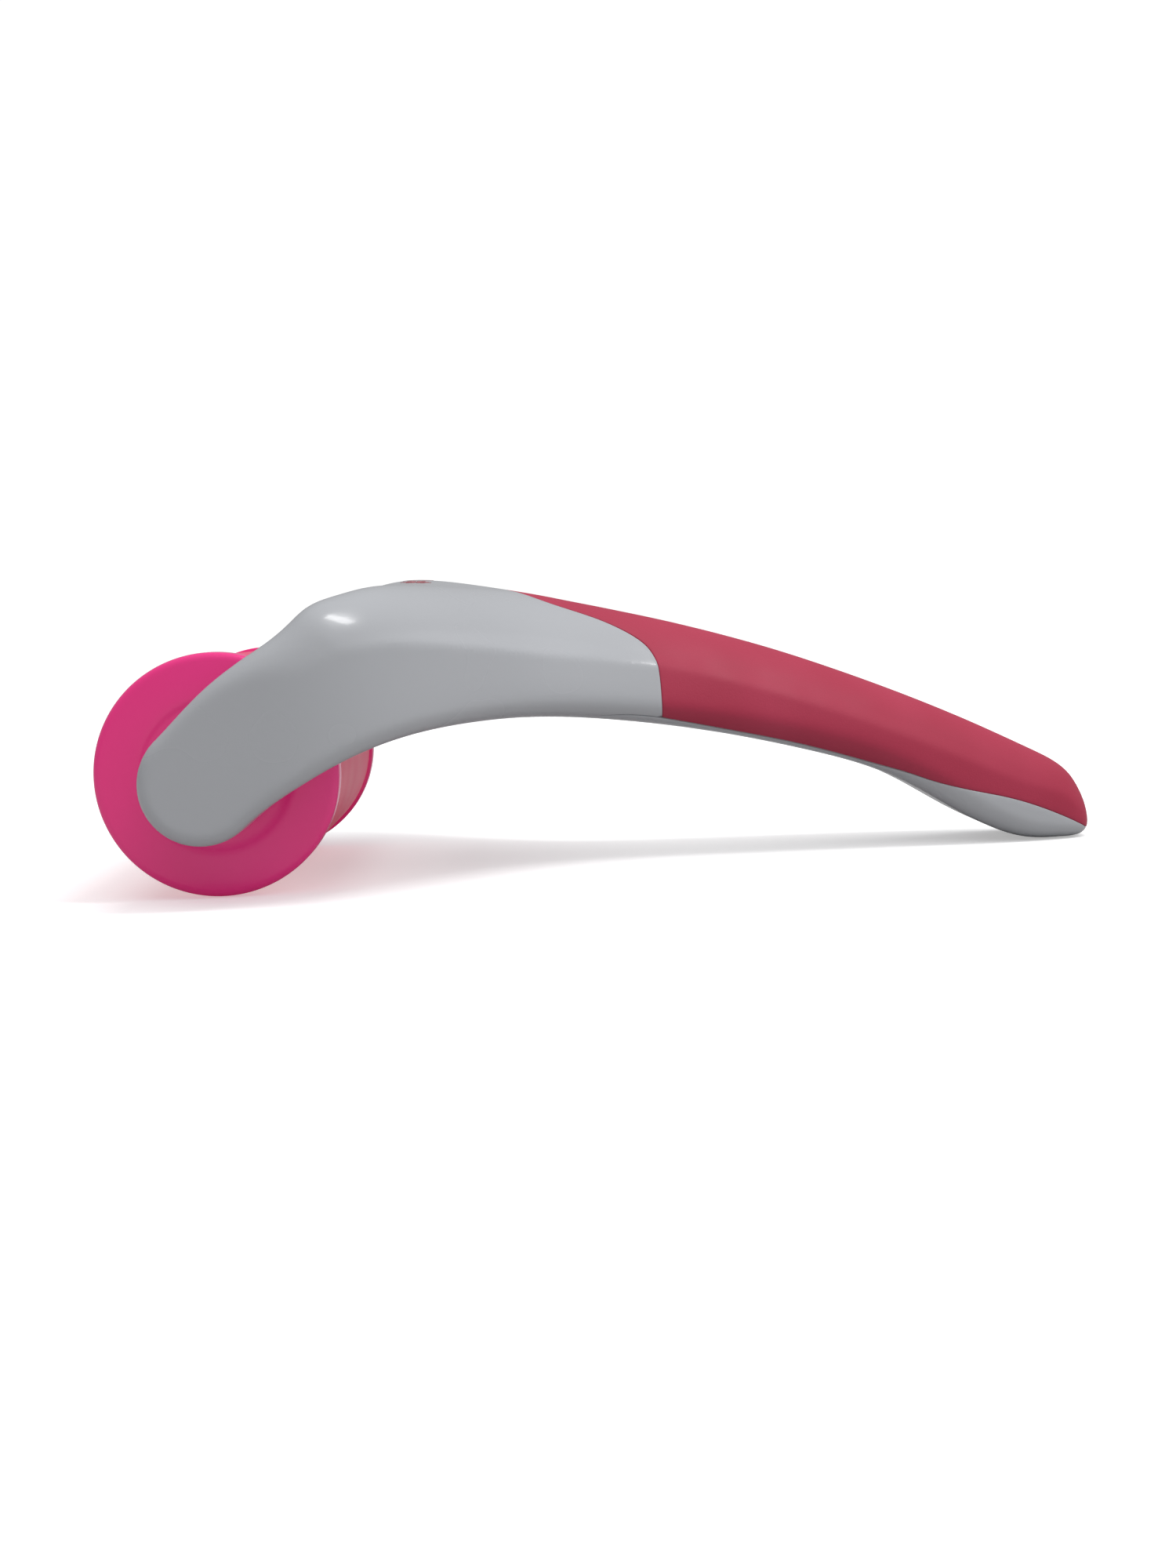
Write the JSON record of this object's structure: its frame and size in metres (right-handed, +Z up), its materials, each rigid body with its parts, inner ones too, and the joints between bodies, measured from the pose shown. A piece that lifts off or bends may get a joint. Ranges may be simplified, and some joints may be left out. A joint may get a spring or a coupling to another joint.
{
  "type": "cold massage roller",
  "caption": "Hand-held cold massage roller: a gel-filled roller turning between the arms of a hollow yoke, with a soft grip and a tail foot.",
  "frame": {"origin": "middle of the footprint on the table that the roller and the tail foot stand on", "axes": "+X from the roller to the tail, +Y across the roller, +Z up"},
  "size_m": [0.1852, 0.1112, 0.0549],
  "materials": {
    "white_shell": "gloss",
    "soft_grip": "soft matte",
    "tinted_shell": "high gloss",
    "gel": "gel",
    "bearing_plastic": "satin",
    "steel": "plated",
    "seal_rubber": "matte"
  },
  "bodies": {
    "frame": {"yoke_shell": "white_shell", "under_shell": "white_shell", "grip_cover": "soft_grip", "pivot_peg_left": "bearing_plastic", "pivot_peg_right": "bearing_plastic", "peg_screws": "steel", "shell_screws": "steel", "spacer_washer_left": "bearing_plastic", "spacer_washer_right": "bearing_plastic"},
    "roller": {"roller_barrel": "tinted_shell", "end_cap_left": "tinted_shell", "end_cap_right": "tinted_shell", "hub_bush_left": "bearing_plastic", "hub_bush_right": "bearing_plastic", "seal_ring_left": "seal_rubber", "seal_ring_right": "seal_rubber", "cooling_gel": "gel", "fill_plug": "tinted_shell"}
  },
  "joints": [
    {"name": "roller_spin", "type": "hinge", "parent": "frame", "child": "roller", "pos_m": [-0.0711, 0, 0.0215], "axis": [0, 1, 0], "continuous": true}
  ]
}
